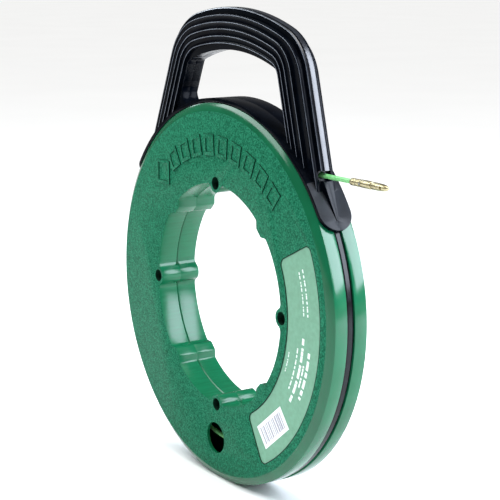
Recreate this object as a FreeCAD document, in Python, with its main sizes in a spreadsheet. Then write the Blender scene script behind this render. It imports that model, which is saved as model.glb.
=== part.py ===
import FreeCAD, Part
import math
import os

import Sketcher
from FreeCAD import Placement, Rotation, Vector

# Fish tape reel, in millimetres.  The disc's axis is Y, its labelled face looks
# towards -Y, the carrying handle is on top (+Z) and the tape leaves towards +X.
# The origin is the middle of the round hub opening, half way through the disc.

SIZES = {
    # the two case halves, and the slot between their rims
    "case_radius": 172.0,
    "rim_half": 16.0,
    "face_half": 20.0,
    "flat_radius": 164.8,
    "face_wall": 2.8,
    "rim_wall": 2.6,
    "slot_half": 4.0,
    # the hub opening with its screw bosses and finger ribs
    "hub_radius": 101.1,
    "hub_wall": 2.6,
    "seam_half": 0.8,
    "bolt_circle": 101.7,
    "boss_radius": 8.5,
    "rib_crest": 95.5,
    "rib_half": 4.5,
    "rib_foot_half": 11.5,
    "lobe_round": 3.0,
    "boss_round": 5.5,
    # holes and recess of the front face
    "counterbore_radius": 5.75,
    "counterbore_depth": 11.0,
    "shank_bore": 2.3,
    "window_radius": 14.4,
    "window_x": -1.5,
    "window_drop": 133.8,
    "recess_inner": 110.6,
    "recess_outer": 156.5,
    "recess_depth": 0.8,
    "recess_start": -62.0,
    "recess_end": 26.4,
    "recess_round": 6.0,
    "label_gap": 0.4,
    "label_thick": 0.35,
    "sticker_long": 44.0,
    "sticker_wide": 21.5,
    "sticker_thick": 0.2,
    "sticker_x": 89.7,
    "sticker_drop": 99.5,
    "sticker_turn": 38.8,
    # case screws and their inserts
    "screw_head_radius": 4.2,
    "screw_head_height": 3.0,
    "screw_shank_radius": 2.0,
    "screw_reach": 16.0,
    "insert_radius": 3.4,
    "insert_bore": 2.0,
    "insert_length": 9.0,
    "insert_sink": 0.4,
    # the ring that carries the handle round the case
    "ring_web_half": 3.6,
    "ring_top": 171.0,
    "ring_shoulder": 170.3,
    "ring_crown_half": 1.8,
    "ring_flange_half": 9.0,
    "ring_flange_top": 168.9,
    "ring_inner": 165.2,
    "lug_half": 6.5,
    "lug_top": 187.0,
    "lug_hole": 1.7,
    "lug_screw_circle": 181.0,
    "lug_angle_right": 51.0,
    "lug_angle_left": 127.0,
    # handle: outer outline, measured along the crown of its back
    "handle_top": 255.0,
    "top_arc": 242.8,
    "top_arc_x": 2.0,
    "leg_level": 130.0,
    "leg_left_x": -132.5,
    "leg_right_x": 136.8,
    "leg_left_lean": 23.4,
    "leg_right_lean": 14.9,
    "shoulder_left": 60.8,
    "shoulder_right": 50.6,
    # handle: rounded back, then five ridges on each side with flutes between them
    "crown_half": 3.6,
    "spine_half": 5.0,
    "spine_inset": 1.2,
    "outer_floor_half": 8.4,
    "inner_floor_half": 10.0,
    "rim_floor_half": 8.2,
    "ridge_half": 0.7,
    "ridge_start": 6.8,
    "ridge_pitch": 6.0,
    "ridge_1_right": 5.6,
    "ridge_2_right": 16.3,
    "ridge_3_right": 23.4,
    "ridge_4_right": 29.2,
    "ridge_5_right": 34.0,
    "ridge_1_half": 9.3,
    "ridge_2_half": 10.9,
    "ridge_3_half": 11.4,
    "ridge_4_half": 11.6,
    "ridge_5_half": 11.0,
    # handle: hand opening, shoe, keel and hollow
    "opening_level": 180.0,
    "opening_left_x": -73.7,
    "opening_right_x": 85.8,
    "opening_left_lean": 22.7,
    "opening_right_lean": 15.5,
    "opening_top": 218.6,
    "opening_arc": 192.0,
    "opening_arc_x": 8.0,
    "shoe_half": 16.0,
    "shoe_inner": 172.8,
    "shoe_outer": 176.2,
    "shoe_right_angle": 32.8,
    "shoe_left_angle": 143.5,
    "keel_angle": 42.0,
    "keel_top": 184.5,
    "keel_half": 5.0,
    "cavity_wall": 9.6,
    "cavity_rim": 5.6,
    "cavity_half": 5.5,
    "foot_radius": 190.0,
    # handle screws
    "grip_screw_head": 3.1,
    "grip_screw_head_height": 2.4,
    "grip_screw_shank": 1.5,
    "grip_screw_seat": 7.4,
    "grip_screw_reach": 14.0,
    "grip_screw_left_x": -45.0,
    "grip_screw_right_x": 55.0,
    "grip_screw_level": 235.0,
    # tape, its coil and its way out
    "tape_radius": 2.0,
    "tape_height": 123.2,
    "tape_bore": 2.75,
    "guide_radius": 4.5,
    "guide_bore": 2.6,
    "guide_start": 124.6,
    "guide_end": 129.6,
    "mouth_floor": 129.0,
    "mouth_half": 6.6,
    "mouth_low": 119.2,
    "mouth_high": 127.8,
    "coil_inner": 111.0,
    "coil_outer": 134.5,
    "coil_half": 16.4,
    "lane_half": 4.2,
    "lane_top": 120.4,
    "ferrule_start": 169.5,
    "ferrule_end": 196.0,
    "nose_end": 215.5,
    "ferrule_radius": 3.3,
    "leader_end": 190.0,
    "pin_radius": 0.8,
    "pin_place": 183.0,
    "nose_flat_end": 206.0,
    "nose_tip_radius": 1.7,
    "eye_radius": 1.2,
    "eye_place": 208.5,
    # clip that holds the tape's inner end against the hub
    "anchor_angle": 200.0,
    "anchor_inner": 104.6,
    "anchor_outer": 110.2,
    "anchor_half": 8.0,
    "anchor_near": 5.0,
    "anchor_screw_shank": 1.5,
    "anchor_screw_head": 2.6,
    "anchor_screw_height": 1.8,
}

doc = FreeCAD.newDocument("fish_tape_reel")
sheet = doc.addObject("Spreadsheet::Sheet", "sizes")
for row, (alias, number) in enumerate(SIZES.items(), start=1):
    sheet.set("A%d" % row, alias)
    sheet.set("B%d" % row, str(number))
    sheet.setAlias("B%d" % row, alias)
doc.recompute()

FRONT, REAR = -1, 1
QUARTERS = 4
subparts = []


def size(alias):
    """The number that the sheet holds under this name."""
    return float(sheet.get(alias))


def place(angle, radius):
    """Point of the disc's plane at this angle above +X, as (x, z)."""
    return radius * math.cos(math.radians(angle)), radius * math.sin(math.radians(angle))


# ---------------------------------------------------------------- sketch helpers

def newBody(name):
    body = doc.addObject("PartDesign::Body", name)
    body.Label = name
    subparts.append(body)
    return body


def originFeature(body, role):
    return next(f for f in body.Origin.OriginFeatures if f.Role == role)


def newSketch(body, role, out="0", turn=0.0):
    """Sketch on an origin plane, moved out along its normal and turned in its plane."""
    sketch = body.newObject("Sketcher::SketchObject", body.Name + "_sketch")
    sketch.AttachmentSupport = [(originFeature(body, role), "")]
    sketch.MapMode = "FlatFace"
    sketch.AttachmentOffset = Placement(Vector(0, 0, 0), Rotation(Vector(0, 0, 1), turn))
    sketch.setExpression("AttachmentOffset.Base.z", out)
    return sketch


def drawOutline(sketch, corners):
    """Closed outline whose corners are pairs of expressions of the sheet's cells."""
    count = len(corners)
    start = [place(360.0 * i / count, 50.0) for i in range(count)]
    for i in range(count):
        here = Vector(*start[i], 0)
        there = Vector(*start[(i + 1) % count], 0)
        sketch.addGeometry(Part.LineSegment(here, there), False)
    for i in range(count):
        sketch.addConstraint(Sketcher.Constraint("Coincident", i, 2, (i + 1) % count, 1))
    for i, corner in enumerate(corners):
        for kind, expression in zip(("DistanceX", "DistanceY"), corner):
            index = sketch.addConstraint(Sketcher.Constraint(kind, -1, 1, i, 1, 1.0 + i))
            sketch.setExpression("Constraints[%d]" % index, expression)
    return sketch


def drawCircle(sketch, x, y, radius):
    """Circle whose centre and radius are expressions of the sheet's cells."""
    number = sketch.addGeometry(Part.Circle(Vector(1, 1, 0), Vector(0, 0, 1), 5), False)
    for kind, expression in (("DistanceX", x), ("DistanceY", y)):
        index = sketch.addConstraint(Sketcher.Constraint(kind, -1, 1, number, 3, 1.0))
        sketch.setExpression("Constraints[%d]" % index, expression)
    index = sketch.addConstraint(Sketcher.Constraint("Radius", number, 5.0))
    sketch.setExpression("Constraints[%d]" % index, radius)
    return sketch


def revolve(body, corners, axis="V_Axis", angle="360", turn=0.0):
    """Solid of revolution.  Corners are (radius, y) about Y, or (x, radius) about X."""
    sketch = drawOutline(newSketch(body, "XY_Plane"), corners)
    if turn:
        sketch.AttachmentOffset = Placement(Vector(0, 0, 0), Rotation(Vector(0, 1, 0), turn))
    solid = body.newObject("PartDesign::Revolution", body.Name + "_revolution")
    solid.Profile = sketch
    solid.ReferenceAxis = (sketch, [axis])
    solid.setExpression("Angle", angle)
    return solid


def pad(body, sketch, length, towards_front=True, middle=False):
    solid = body.newObject("PartDesign::Pad", body.Name + "_pad")
    solid.Profile = sketch
    solid.setExpression("Length", length)
    solid.Reversed = not towards_front
    solid.Midplane = middle
    return solid


def pocket(body, sketch, length, towards_rear=True, middle=False):
    """Cut that must take volume away: a cut into thin air is an error."""
    doc.recompute()
    before = body.Shape.Volume
    cut = body.newObject("PartDesign::Pocket", body.Name + "_pocket")
    cut.Profile = sketch
    cut.setExpression("Length", length)
    cut.Reversed = not towards_rear
    cut.Midplane = middle
    doc.recompute()
    if body.Shape.Volume > before - 0.1:
        raise ValueError(body.Label + ": a pocket cuts nothing")
    return cut


def repeatRound(body, features, count):
    pattern = body.newObject("PartDesign::PolarPattern", body.Name + "_pattern")
    pattern.Originals = features
    pattern.Axis = (originFeature(body, "Y_Axis"), [""])
    pattern.Angle = 360
    pattern.Occurrences = count
    body.Tip = pattern
    return pattern


def roundEdges(body, wanted, radius):
    """Round the edges of the body's tip for which wanted(edge) is true."""
    doc.recompute()
    tip = body.Tip
    names = ["Edge%d" % i for i, edge in enumerate(tip.Shape.Edges, 1) if wanted(edge)]
    fillet = body.newObject("PartDesign::Fillet", body.Name + "_fillet")
    fillet.Base = (tip, names)
    fillet.setExpression("Radius", radius)
    return fillet


def runsAlongY(edge):
    box = edge.BoundBox
    return box.XLength < 1e-4 and box.ZLength < 1e-4


def distanceFromAxis(edge):
    middle = edge.CenterOfMass
    return math.hypot(middle.x, middle.z)


# ---------------------------------------------------------------- case

def caseHalf(name, side):
    """Moulded half shell: face plate, bevel, rim wall and its half of the hub."""
    body = newBody(name)

    def across(expression):
        return "%d * (%s)" % (side, expression)

    wall_inside = "sizes.face_half - sizes.face_wall"
    rim_inside = "sizes.case_radius - sizes.rim_wall"
    hub_outside = "sizes.hub_radius + sizes.hub_wall"
    revolve(body, [
        ("sizes.hub_radius", across("sizes.seam_half")),
        ("sizes.hub_radius", across("sizes.face_half")),
        ("sizes.flat_radius", across("sizes.face_half")),
        ("sizes.case_radius", across("sizes.rim_half")),
        ("sizes.case_radius", across("sizes.slot_half")),
        (rim_inside, across("sizes.slot_half")),
        (rim_inside, across("sizes.rim_half - 0.7")),
        ("sizes.flat_radius - 1", across(wall_inside)),
        (hub_outside, across(wall_inside)),
        (hub_outside, "0"),
        ("sizes.hub_radius + sizes.seam_half", "0"),
    ])
    boss = newSketch(body, "XZ_Plane")
    drawCircle(boss, "sizes.bolt_circle", "0", "sizes.boss_radius")
    column = pad(body, boss, "sizes.face_half", side == FRONT)
    repeatRound(body, [column], QUARTERS)
    rib = newSketch(body, "XZ_Plane", turn=45.0)
    drawOutline(rib, [
        ("sizes.hub_radius + 1", "-sizes.rib_foot_half"),
        ("sizes.hub_radius + 1", "sizes.rib_foot_half"),
        ("sizes.rib_crest", "sizes.rib_half"),
        ("sizes.rib_crest", "-sizes.rib_half"),
    ])
    bar = pad(body, rib, "sizes.face_half", side == FRONT)
    repeatRound(body, [bar], QUARTERS)

    def onLobe(edge):
        inside = distanceFromAxis(edge) < size("hub_radius") + 0.01
        return runsAlongY(edge) and inside and edge.Length > size("rim_half")

    def besideBoss(edge):
        middle = edge.CenterOfMass
        beside = min(abs(middle.x), abs(middle.z)) < size("boss_radius") + 0.5
        return onLobe(edge) and beside and distanceFromAxis(edge) > size("rib_crest") + 1

    roundEdges(body, lambda edge: onLobe(edge) and not besideBoss(edge), "sizes.lobe_round")
    roundEdges(body, besideBoss, "sizes.boss_round")
    return body


def caseFront():
    body = caseHalf("case_front", FRONT)
    seat = newSketch(body, "XZ_Plane", "sizes.face_half")
    drawCircle(seat, "sizes.bolt_circle", "0", "sizes.counterbore_radius")
    counterbore = pocket(body, seat, "sizes.counterbore_depth")
    bore = newSketch(body, "XZ_Plane", "sizes.face_half")
    drawCircle(bore, "sizes.bolt_circle", "0", "sizes.shank_bore")
    shank = pocket(body, bore, "sizes.face_half")
    repeatRound(body, [counterbore, shank], QUARTERS)
    window = newSketch(body, "XZ_Plane", "sizes.face_half")
    drawCircle(window, "sizes.window_x", "-sizes.window_drop", "sizes.window_radius")
    pocket(body, window, "sizes.face_wall + 1")
    recess = newSketch(body, "XY_Plane")
    recess.AttachmentOffset = Placement(Vector(), Rotation(Vector(0, 1, 0), -size("recess_start")))
    drawOutline(recess, [
        ("sizes.recess_inner", "-sizes.face_half - 1"),
        ("sizes.recess_outer", "-sizes.face_half - 1"),
        ("sizes.recess_outer", "-sizes.face_half + sizes.recess_depth"),
        ("sizes.recess_inner", "-sizes.face_half + sizes.recess_depth"),
    ])
    groove = body.newObject("PartDesign::Groove", "recess_groove")
    groove.Profile = recess
    groove.ReferenceAxis = (recess, ["V_Axis"])
    groove.setExpression("Angle", "sizes.recess_end - sizes.recess_start")
    groove.Reversed = True

    def atRecessCorner(edge):
        return runsAlongY(edge) and abs(edge.Length - size("recess_depth")) < 0.01

    roundEdges(body, atRecessCorner, "sizes.recess_round")


def caseRear():
    body = caseHalf("case_rear", REAR)
    hole = newSketch(body, "XZ_Plane")
    drawCircle(hole, "sizes.bolt_circle", "0", "sizes.insert_radius")
    bore = pocket(body, hole, "sizes.insert_length + sizes.insert_sink")
    repeatRound(body, [bore], QUARTERS)
    pilot = newSketch(body, "XZ_Plane")
    x, z = place(size("anchor_angle"), (size("anchor_inner") + size("anchor_outer")) / 2)
    drawCircle(pilot, str(x), str(z), "sizes.anchor_screw_shank")
    pocket(body, pilot, "sizes.face_half - 1")


def turnedPin(name, corners, axis="V_Axis"):
    body = newBody(name)
    revolve(body, corners, axis)
    return body


def cutCross(body, half_long, half_wide, depth, face):
    """Cross recess in the head of a screw, cut from the plane y = face."""
    slots = newSketch(body, "XZ_Plane", "-(%s)" % face)
    drawOutline(slots, [
        (half_wide, half_long), ("-" + half_wide, half_long),
        ("-" + half_wide, half_wide), ("-" + half_long, half_wide),
        ("-" + half_long, "-" + half_wide), ("-" + half_wide, "-" + half_wide),
        ("-" + half_wide, "-" + half_long), (half_wide, "-" + half_long),
        (half_wide, "-" + half_wide), (half_long, "-" + half_wide),
        (half_long, half_wide), (half_wide, half_wide),
    ])
    return pocket(body, slots, depth, face.startswith("-"))


def caseScrew(number):
    """Pan head machine screw, head towards the front face."""
    name = "case_screw_%d" % (number + 1)
    seat = "-sizes.face_half + sizes.counterbore_depth"
    top = seat + " - sizes.screw_head_height"
    body = turnedPin(name, [
        ("0", top),
        ("sizes.screw_head_radius - 1.2", top),
        ("sizes.screw_head_radius", top + " + 1.2"),
        ("sizes.screw_head_radius", seat),
        ("sizes.screw_shank_radius", seat),
        ("sizes.screw_shank_radius", seat + " + sizes.screw_reach"),
        ("0", seat + " + sizes.screw_reach"),
    ])
    cutCross(body, "2.2", "0.5", "1.6", top)
    x, z = place(90.0 * number, size("bolt_circle"))
    body.Placement = Placement(Vector(x, 0, z), Rotation())


def caseInsert(number):
    """Threaded sleeve pressed into the rear half's boss."""
    body = turnedPin("case_insert_%d" % (number + 1), [
        ("sizes.insert_bore", "sizes.insert_sink"),
        ("sizes.insert_radius", "sizes.insert_sink"),
        ("sizes.insert_radius", "sizes.insert_sink + sizes.insert_length"),
        ("sizes.insert_bore", "sizes.insert_sink + sizes.insert_length"),
    ])
    x, z = place(90.0 * number, size("bolt_circle"))
    body.Placement = Placement(Vector(x, 0, z), Rotation())


def labelPlate():
    """Thin curved label that lies in the front face's recess."""
    body = newBody("label_plate")
    floor = "-sizes.face_half + sizes.recess_depth"
    edge_angle = math.degrees(size("label_gap") / size("recess_inner"))
    revolve(body, [
        ("sizes.recess_inner + sizes.label_gap", floor + " - sizes.label_thick"),
        ("sizes.recess_outer - sizes.label_gap", floor + " - sizes.label_thick"),
        ("sizes.recess_outer - sizes.label_gap", floor),
        ("sizes.recess_inner + sizes.label_gap", floor),
    ], angle="sizes.recess_end - sizes.recess_start - %s" % (2 * edge_angle),
        turn=-size("recess_start") - edge_angle)
    body.Tip.Reversed = True
    roundEdges(body, runsAlongY, "sizes.recess_round - sizes.label_gap")


def sticker():
    """Small printed sticker on the label plate."""
    body = newBody("sticker")
    plate = newSketch(body, "XZ_Plane")
    drawOutline(plate, [
        ("sizes.sticker_long / 2", "sizes.sticker_wide / 2"),
        ("-sizes.sticker_long / 2", "sizes.sticker_wide / 2"),
        ("-sizes.sticker_long / 2", "-sizes.sticker_wide / 2"),
        ("sizes.sticker_long / 2", "-sizes.sticker_wide / 2"),
    ])
    pad(body, plate, "sizes.sticker_thick")
    body.Placement = Placement(Vector(), Rotation(Vector(0, 1, 0), -size("sticker_turn")))
    body.setExpression("Placement.Base.x", "sizes.sticker_x")
    body.setExpression("Placement.Base.z", "-sizes.sticker_drop")
    body.setExpression("Placement.Base.y", "-sizes.face_half + sizes.recess_depth - sizes.label_thick")


# ---------------------------------------------------------------- tape

def tapeCoil():
    """Outer shape of the wound tape, with an open lane for the stretch that leaves it."""
    turnedPin("tape_coil", [
        ("sizes.coil_inner", "-sizes.coil_half"),
        ("sizes.coil_outer", "-sizes.coil_half"),
        ("sizes.coil_outer", "-sizes.lane_half"),
        ("sizes.lane_top", "-sizes.lane_half"),
        ("sizes.lane_top", "sizes.lane_half"),
        ("sizes.coil_outer", "sizes.lane_half"),
        ("sizes.coil_outer", "sizes.coil_half"),
        ("sizes.coil_inner", "sizes.coil_half"),
    ])


def tapeAnchor():
    """Block on the hub that grips the tape's inner end, and its screw."""
    body = newBody("tape_anchor")
    block = newSketch(body, "XZ_Plane", "-sizes.anchor_near", size("anchor_angle"))
    drawOutline(block, [
        ("sizes.anchor_inner", "sizes.anchor_half"),
        ("sizes.anchor_inner", "-sizes.anchor_half"),
        ("sizes.anchor_outer", "-sizes.anchor_half"),
        ("sizes.anchor_outer", "sizes.anchor_half"),
    ])
    pad(body, block, "sizes.face_half - sizes.face_wall - sizes.anchor_near", False)
    hole = newSketch(body, "XZ_Plane", turn=size("anchor_angle"))
    middle = "(sizes.anchor_inner + sizes.anchor_outer) / 2"
    drawCircle(hole, middle, "0", "sizes.anchor_screw_shank + 0.1")
    pocket(body, hole, "sizes.face_half")
    screw = turnedPin("anchor_screw", [
        ("0", "-sizes.anchor_screw_height"),
        ("sizes.anchor_screw_head", "-sizes.anchor_screw_height"),
        ("sizes.anchor_screw_head", "0"),
        ("sizes.anchor_screw_shank", "0"),
        ("sizes.anchor_screw_shank", "sizes.face_half - sizes.anchor_near - 1.2"),
        ("0", "sizes.face_half - sizes.anchor_near - 1.2"),
    ])
    x, z = place(size("anchor_angle"), (size("anchor_inner") + size("anchor_outer")) / 2)
    screw.Placement = Placement(Vector(x, 0, z), Rotation())
    screw.setExpression("Placement.Base.y", "sizes.anchor_near")


def onTapeLine(body):
    body.setExpression("Placement.Base.z", "sizes.tape_height")
    return body


def crossHole(body, x, radius):
    """Hole along Y through a turned piece that lies along X."""
    hole = newSketch(body, "XZ_Plane")
    drawCircle(hole, x, "0", radius)
    return pocket(body, hole, "4 * sizes.ferrule_radius", middle=True)


def tapeEnd():
    """The straight leading stretch of tape and the brass tip crimped on it."""
    leader = turnedPin("tape_leader", [
        ("0", "0"),
        ("sizes.leader_end", "0"),
        ("sizes.leader_end", "sizes.tape_radius"),
        ("0", "sizes.tape_radius"),
    ], "H_Axis")
    crossHole(leader, "sizes.pin_place", "sizes.pin_radius")
    ferrule = turnedPin("tip_ferrule", [
        ("sizes.ferrule_start", "sizes.tape_radius"),
        ("sizes.ferrule_end", "sizes.tape_radius"),
        ("sizes.ferrule_end", "sizes.ferrule_radius"),
        ("sizes.ferrule_start + 2.5", "sizes.ferrule_radius"),
        ("sizes.ferrule_start", "sizes.tape_radius + 0.5"),
    ], "H_Axis")
    crossHole(ferrule, "sizes.pin_place", "sizes.pin_radius")
    nose = turnedPin("tip_nose", [
        ("sizes.leader_end", "0"),
        ("sizes.nose_end", "0"),
        ("sizes.nose_end", "sizes.nose_tip_radius"),
        ("sizes.nose_end - 1.6", "sizes.nose_tip_radius + 0.8"),
        ("sizes.nose_flat_end", "sizes.ferrule_radius"),
        ("sizes.ferrule_end", "sizes.ferrule_radius"),
        ("sizes.ferrule_end", "sizes.tape_radius"),
        ("sizes.leader_end", "sizes.tape_radius"),
    ], "H_Axis")
    crossHole(nose, "sizes.eye_place", "sizes.eye_radius")
    pin = turnedPin("tip_pin", [
        ("0", "-sizes.ferrule_radius"),
        ("sizes.pin_radius", "-sizes.ferrule_radius"),
        ("sizes.pin_radius", "sizes.ferrule_radius"),
        ("0", "sizes.ferrule_radius"),
    ])
    pin.setExpression("Placement.Base.x", "sizes.pin_place")
    for body in (leader, ferrule, nose, pin):
        onTapeLine(body)


def tapeGuide():
    """Bush that lines the tape's way out of the handle's foot."""
    onTapeLine(turnedPin("tape_guide", [
        ("sizes.guide_start", "sizes.guide_bore"),
        ("sizes.guide_end - 1", "sizes.guide_bore"),
        ("sizes.guide_end", "sizes.guide_bore + 0.8"),
        ("sizes.guide_end", "sizes.guide_radius"),
        ("sizes.guide_start", "sizes.guide_radius"),
    ], "H_Axis"))


# ---------------------------------------------------------------- carrier ring

def carrierRing():
    """Ring that runs in the rim slot and stands up into both legs of the handle."""
    body = newBody("carrier_ring")
    half_outline = [
        ("sizes.ring_inner", "sizes.ring_flange_half"),
        ("sizes.ring_flange_top", "sizes.ring_flange_half"),
        ("sizes.ring_flange_top", "sizes.ring_web_half"),
        ("sizes.ring_shoulder", "sizes.ring_web_half"),
        ("sizes.ring_top", "sizes.ring_crown_half"),
    ]
    other_half = [(radius, "-" + across) for radius, across in reversed(half_outline)]
    revolve(body, half_outline + other_half)
    for angle in (size("lug_angle_right"), size("lug_angle_left")):
        plate = newSketch(body, "XZ_Plane", turn=angle)
        drawOutline(plate, [
            ("sizes.ring_flange_top - 1", "-sizes.lug_half"),
            ("sizes.lug_top", "-sizes.lug_half"),
            ("sizes.lug_top", "sizes.lug_half"),
            ("sizes.ring_flange_top - 1", "sizes.lug_half"),
        ])
        pad(body, plate, "2 * sizes.ring_web_half", middle=True)
        hole = newSketch(body, "XZ_Plane", turn=angle)
        drawCircle(hole, "sizes.lug_screw_circle", "0", "sizes.lug_hole")
        pocket(body, hole, "4 * sizes.ring_web_half", middle=True)
    way = newSketch(body, "YZ_Plane")
    drawCircle(way, "0", "sizes.tape_height", "sizes.tape_bore")
    pocket(body, way, "sizes.case_radius", False)


# ---------------------------------------------------------------- handle

def slab(outline, half):
    """Prism of a closed outline of (x, z) points, from y = -half to y = half."""
    points = [Vector(x, -half, z) for x, z in outline]
    face = Part.Face(Part.makePolygon(points + points[:1]))
    return face.extrude(Vector(0, 2 * half, 0))


def drum(radius, half, x=0.0, z=0.0):
    """Cylinder about Y."""
    return Part.makeCylinder(radius, 2 * half, Vector(x, -half, z), Vector(0, 1, 0))


def leaning(side, inset=0.0, inner=False):
    """Function giving the x of a leg's outer or inner edge at height z."""
    level = size("opening_level" if inner else "leg_level")
    x0 = size("%s_%s_x" % ("opening" if inner else "leg", side))
    lean = math.radians(size("%s_%s_lean" % ("opening" if inner else "leg", side)))
    towards_middle = 1.0 if side == "left" else -1.0
    x0 += towards_middle * inset / math.cos(lean)

    def atHeight(z):
        return x0 + towards_middle * (z - level) * math.tan(lean)

    return atHeight


def arched(left, right, low, high, arc_radius, arc_x, arc_z, half):
    """Slab between two leaning edges, cut off by an arc at the top."""
    outline = [(left(low), low), (right(low), low), (right(high), high), (left(high), high)]
    return slab(outline, half).common(drum(arc_radius, half, arc_x, arc_z))


def roundUpright(shape, wanted, radius):
    edges = [edge for edge in shape.Edges if runsAlongY(edge) and wanted(edge.CenterOfMass)]
    return shape.makeFillet(radius, edges)


def archBlock(inset, right_inset, half, low=80.0):
    """Solid inside the handle's outer outline, moved in from its back and its legs."""
    middle = size("handle_top") - size("top_arc")
    block = arched(leaning("left", inset), leaning("right", right_inset), low, 300.0,
                   size("top_arc") - inset, size("top_arc_x"), middle, half)
    deeper = max(inset, right_inset)
    block = roundUpright(block, lambda p: p.z > 150 and p.x < 0, size("shoulder_left") - inset)
    return roundUpright(block, lambda p: p.z > 150 and p.x > 0, size("shoulder_right") - deeper)


def handOpening(grow, half):
    """Space inside the handle, with rounded corners, grown by a wall thickness."""
    middle = size("opening_top") - size("opening_arc")
    space = arched(leaning("left", -grow, True), leaning("right", -grow, True), 120.0, 300.0,
                   size("opening_arc") + grow, size("opening_arc_x"), middle, half)
    space = space.cut(drum(size("shoe_outer") - grow, half))
    corners = [
        (lambda p: p.z > 190 and p.x < 0, 7.0),
        (lambda p: p.z > 190 and p.x > 0, 12.0),
        (lambda p: p.z < 190 and p.x < 0, 11.0),
        (lambda p: p.z < 190 and p.x > 0, 5.0),
    ]
    for wanted, radius in corners:
        space = roundUpright(space, wanted, radius + grow)
    return space


def shoe():
    """Curved foot plate that lies over the rim, with a half round at each end."""
    half = size("shoe_half")
    shell = drum(size("shoe_outer"), half).cut(drum(size("shoe_inner"), half + 1))
    right, left = size("shoe_right_angle"), size("shoe_left_angle")
    far = 300.0
    steps = 4
    fan = [(0.0, 0.0)] + [place(right + (left - right) * i / steps, far) for i in range(steps + 1)]
    plate = shell.common(slab(fan, half))
    for angle in (right, left):
        x, z = place(angle, 1.0)
        stud = Part.makeCylinder(half, far, Vector(), Vector(x, 0, z))
        plate = plate.fuse(shell.common(stud))
    return plate


def keel():
    """Ridge that runs out from below the tape's mouth to the end of the shoe."""
    sections = []
    ends = [
        (size("keel_angle"), size("keel_top"), size("keel_half")),
        (size("shoe_right_angle") - 2.5, size("shoe_outer") + 0.4, 1.0),
    ]
    for angle, top, half in ends:
        low = place(angle, size("shoe_inner") + 1)
        high = place(angle, top)
        corners = [Vector(low[0], -half, low[1]), Vector(low[0], half, low[1]),
                   Vector(high[0], half, high[1]), Vector(high[0], -half, high[1])]
        sections.append(Part.makePolygon(corners + corners[:1]))
    return Part.makeLoft(sections, True, True)


def lugPocket(angle):
    """Room for one of the ring's lugs, with a little clearance."""
    gap = 0.1
    half = size("lug_half") + gap
    block = Part.makeBox(size("lug_top") + gap, 2 * (size("ring_web_half") + gap), 2 * half,
                         Vector(0, -size("ring_web_half") - gap, -half))
    return block.rotate(Vector(), Vector(0, 1, 0), -angle)


def alongTape(radius, start, end):
    centre = Vector(start, 0, size("tape_height"))
    return Part.makeCylinder(radius, end - start, centre, Vector(1, 0, 0))


def gripScrewPlaces():
    """Where the four handle screws stand, as (x, z)."""
    circle = size("lug_screw_circle")
    level = size("grip_screw_level")
    return [
        place(size("lug_angle_left"), circle),
        (size("grip_screw_left_x"), level),
        (size("grip_screw_right_x"), level),
        place(size("lug_angle_right"), circle),
    ]


def ridges():
    """The ridges of a side face, as (inset, inset on the right leg, half width)."""
    found = []
    for number in range(1, 6):
        inset = size("ridge_start") + (number - 1) * size("ridge_pitch")
        found.append((inset, size("ridge_%d_right" % number), size("ridge_%d_half" % number)))
    return found


def grip():
    """The arch with its rounded back and its fluted sides, before any hollow."""
    edge = size("ridge_half")
    lines = ridges()
    low = size("mouth_low")
    solid = archBlock(0.0, 0.0, size("crown_half"), low)
    solid = solid.fuse(archBlock(size("spine_inset"), size("spine_inset"), size("spine_half"), low))
    for number, half in ((0, size("outer_floor_half")), (1, size("inner_floor_half"))):
        solid = solid.fuse(archBlock(lines[number][0] - edge, lines[number][1] - edge, half))
    for inset, right, half in lines:
        ring = archBlock(inset - edge, right - edge, half)
        solid = solid.fuse(ring.cut(archBlock(inset + edge, right + edge, half + 1)))
    inset, right, half = lines[-1]
    waste = archBlock(inset + edge, right + edge, half + 1)
    core = slab([(-200, 80), (200, 80), (200, 300), (-200, 300)], size("rim_floor_half"))
    return solid.cut(waste.cut(core))


def wholeHandle():
    """Both handle halves as one solid: grip, legs, shoe, keel and all hollows."""
    reach = size("shoe_half")
    solid = grip().cut(handOpening(0.0, reach))
    solid = solid.fuse([shoe(), keel()])
    solid = solid.cut(drum(size("shoe_inner"), reach + 1))

    wall = size("cavity_wall")
    hollow = archBlock(wall, wall, size("cavity_half")).cut(handOpening(size("cavity_rim"), reach))
    hollow = hollow.cut(drum(size("foot_radius"), reach))
    for x, z in gripScrewPlaces():
        hollow = hollow.cut(drum(2.6 * size("grip_screw_shank"), reach, x, z))
    mouth = Part.makeBox(20, 2 * size("mouth_half"), size("mouth_high") - size("mouth_low"),
                         Vector(size("mouth_floor"), -size("mouth_half"), size("mouth_low")))
    way_out = alongTape(size("guide_radius"), 110.0, size("mouth_floor") + 1)
    pockets = [lugPocket(size("lug_angle_left")), lugPocket(size("lug_angle_right"))]
    return solid.cut([hollow, mouth, way_out] + pockets).removeSplitter()


def handleHalf(name, side, whole):
    """One half of the handle, with its share of the screw holes."""
    reach = 2 * size("handle_top")
    half_space = Part.makeBox(reach, 50, reach, Vector(-reach / 2, 0 if side == REAR else -50, 0))
    half = whole.common(half_space)
    seat, deep = size("grip_screw_seat"), size("grip_screw_reach")
    for x, z in gripScrewPlaces():
        shank = size("grip_screw_shank")
        along = Vector(0, 1, 0)
        if side == REAR:
            bores = [Part.makeCylinder(shank + 0.2, 50, Vector(x, -1, z), along),
                     Part.makeCylinder(size("grip_screw_head") + 0.3, 50, Vector(x, seat, z), along)]
        else:
            bores = [Part.makeCylinder(shank, deep + 1, Vector(x, seat - deep, z), along)]
        half = half.cut(bores)
    part = doc.addObject("Part::Feature", name)
    part.Label = name
    part.Shape = half
    part.Placement = Placement()
    subparts.append(part)


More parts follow.
